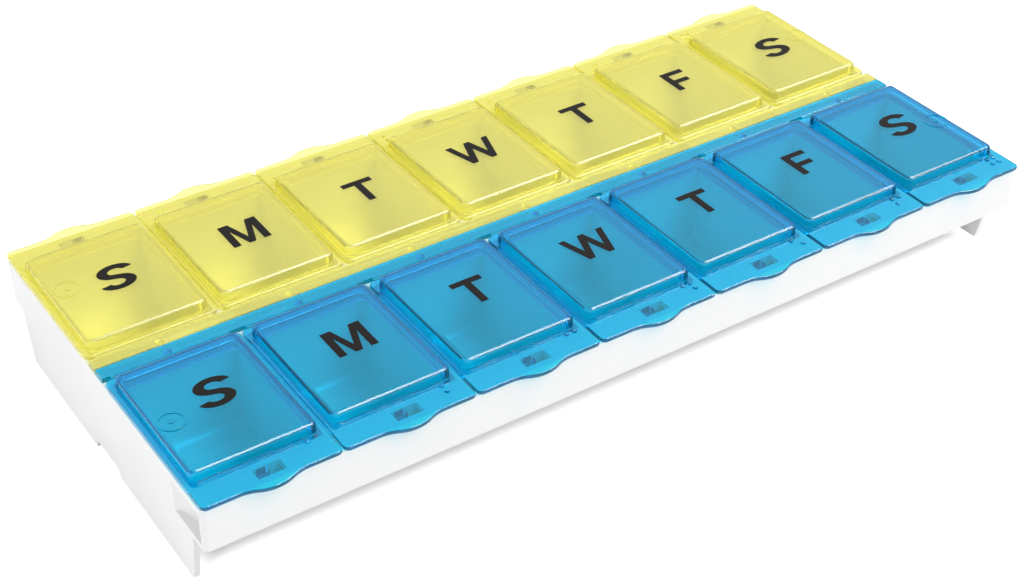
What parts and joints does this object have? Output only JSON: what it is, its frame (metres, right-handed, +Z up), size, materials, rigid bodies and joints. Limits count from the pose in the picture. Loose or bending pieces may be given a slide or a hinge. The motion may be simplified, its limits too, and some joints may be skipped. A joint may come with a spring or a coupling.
{
  "type": "weekly pill organizer",
  "caption": "Two-row weekly pill organizer: white tray of scooped compartments under translucent blue and yellow flip-up snap lids on living hinges.",
  "frame": {"origin": "centre of the footprint, on the plane of the feet", "axes": "+X along the week from Sunday to Saturday, +Y from the blue row to the yellow row, +Z up"},
  "size_m": [0.21, 0.1, 0.0269],
  "materials": {
    "tray_white": "satin white moulded plastic",
    "lid_blue": "translucent blue moulded plastic",
    "lid_yellow": "translucent yellow moulded plastic"
  },
  "bodies": {
    "tray": {"tray": "tray_white", "blue_hinge_strip": "lid_blue", "yellow_hinge_strip": "lid_yellow", "blue_hinge_film_sunday": "lid_blue", "blue_hinge_film_monday": "lid_blue", "blue_hinge_film_tuesday": "lid_blue", "blue_hinge_film_wednesday": "lid_blue", "blue_hinge_film_thursday": "lid_blue", "blue_hinge_film_friday": "lid_blue", "blue_hinge_film_saturday": "lid_blue", "yellow_hinge_film_sunday": "lid_yellow", "yellow_hinge_film_monday": "lid_yellow", "yellow_hinge_film_tuesday": "lid_yellow", "yellow_hinge_film_wednesday": "lid_yellow", "yellow_hinge_film_thursday": "lid_yellow", "yellow_hinge_film_friday": "lid_yellow", "yellow_hinge_film_saturday": "lid_yellow"},
    "blue_lid_sunday": {"blue_lid_sunday": "lid_blue"},
    "blue_lid_monday": {"blue_lid_monday": "lid_blue"},
    "blue_lid_tuesday": {"blue_lid_tuesday": "lid_blue"},
    "blue_lid_wednesday": {"blue_lid_wednesday": "lid_blue"},
    "blue_lid_thursday": {"blue_lid_thursday": "lid_blue"},
    "blue_lid_friday": {"blue_lid_friday": "lid_blue"},
    "blue_lid_saturday": {"blue_lid_saturday": "lid_blue"},
    "yellow_lid_sunday": {"yellow_lid_sunday": "lid_yellow"},
    "yellow_lid_monday": {"yellow_lid_monday": "lid_yellow"},
    "yellow_lid_tuesday": {"yellow_lid_tuesday": "lid_yellow"},
    "yellow_lid_wednesday": {"yellow_lid_wednesday": "lid_yellow"},
    "yellow_lid_thursday": {"yellow_lid_thursday": "lid_yellow"},
    "yellow_lid_friday": {"yellow_lid_friday": "lid_yellow"},
    "yellow_lid_saturday": {"yellow_lid_saturday": "lid_yellow"}
  },
  "joints": [
    {"name": "blue_sunday_lid_hinge", "type": "hinge", "parent": "tray", "child": "blue_lid_sunday", "pos_m": [-0.09, -0.004, 0.02435], "axis": [-1, 0, 0], "range_deg": [0, 90], "deforming": ["blue_hinge_film_sunday"]},
    {"name": "blue_monday_lid_hinge", "type": "hinge", "parent": "tray", "child": "blue_lid_monday", "pos_m": [-0.06, -0.004, 0.02435], "axis": [-1, 0, 0], "range_deg": [0, 90], "deforming": ["blue_hinge_film_monday"]},
    {"name": "blue_tuesday_lid_hinge", "type": "hinge", "parent": "tray", "child": "blue_lid_tuesday", "pos_m": [-0.03, -0.004, 0.02435], "axis": [-1, 0, 0], "range_deg": [0, 90], "deforming": ["blue_hinge_film_tuesday"]},
    {"name": "blue_wednesday_lid_hinge", "type": "hinge", "parent": "tray", "child": "blue_lid_wednesday", "pos_m": [0, -0.004, 0.02435], "axis": [-1, 0, 0], "range_deg": [0, 90], "deforming": ["blue_hinge_film_wednesday"]},
    {"name": "blue_thursday_lid_hinge", "type": "hinge", "parent": "tray", "child": "blue_lid_thursday", "pos_m": [0.03, -0.004, 0.02435], "axis": [-1, 0, 0], "range_deg": [0, 90], "deforming": ["blue_hinge_film_thursday"]},
    {"name": "blue_friday_lid_hinge", "type": "hinge", "parent": "tray", "child": "blue_lid_friday", "pos_m": [0.06, -0.004, 0.02435], "axis": [-1, 0, 0], "range_deg": [0, 90], "deforming": ["blue_hinge_film_friday"]},
    {"name": "blue_saturday_lid_hinge", "type": "hinge", "parent": "tray", "child": "blue_lid_saturday", "pos_m": [0.09, -0.004, 0.02435], "axis": [-1, 0, 0], "range_deg": [0, 90], "deforming": ["blue_hinge_film_saturday"]},
    {"name": "yellow_sunday_lid_hinge", "type": "hinge", "parent": "tray", "child": "yellow_lid_sunday", "pos_m": [-0.09, 0.004, 0.02435], "axis": [1, 0, 0], "range_deg": [0, 90], "deforming": ["yellow_hinge_film_sunday"]},
    {"name": "yellow_monday_lid_hinge", "type": "hinge", "parent": "tray", "child": "yellow_lid_monday", "pos_m": [-0.06, 0.004, 0.02435], "axis": [1, 0, 0], "range_deg": [0, 90], "deforming": ["yellow_hinge_film_monday"]},
    {"name": "yellow_tuesday_lid_hinge", "type": "hinge", "parent": "tray", "child": "yellow_lid_tuesday", "pos_m": [-0.03, 0.004, 0.02435], "axis": [1, 0, 0], "range_deg": [0, 90], "deforming": ["yellow_hinge_film_tuesday"]},
    {"name": "yellow_wednesday_lid_hinge", "type": "hinge", "parent": "tray", "child": "yellow_lid_wednesday", "pos_m": [0, 0.004, 0.02435], "axis": [1, 0, 0], "range_deg": [0, 90], "deforming": ["yellow_hinge_film_wednesday"]},
    {"name": "yellow_thursday_lid_hinge", "type": "hinge", "parent": "tray", "child": "yellow_lid_thursday", "pos_m": [0.03, 0.004, 0.02435], "axis": [1, 0, 0], "range_deg": [0, 90], "deforming": ["yellow_hinge_film_thursday"]},
    {"name": "yellow_friday_lid_hinge", "type": "hinge", "parent": "tray", "child": "yellow_lid_friday", "pos_m": [0.06, 0.004, 0.02435], "axis": [1, 0, 0], "range_deg": [0, 90], "deforming": ["yellow_hinge_film_friday"]},
    {"name": "yellow_saturday_lid_hinge", "type": "hinge", "parent": "tray", "child": "yellow_lid_saturday", "pos_m": [0.09, 0.004, 0.02435], "axis": [1, 0, 0], "range_deg": [0, 90], "deforming": ["yellow_hinge_film_saturday"]}
  ]
}
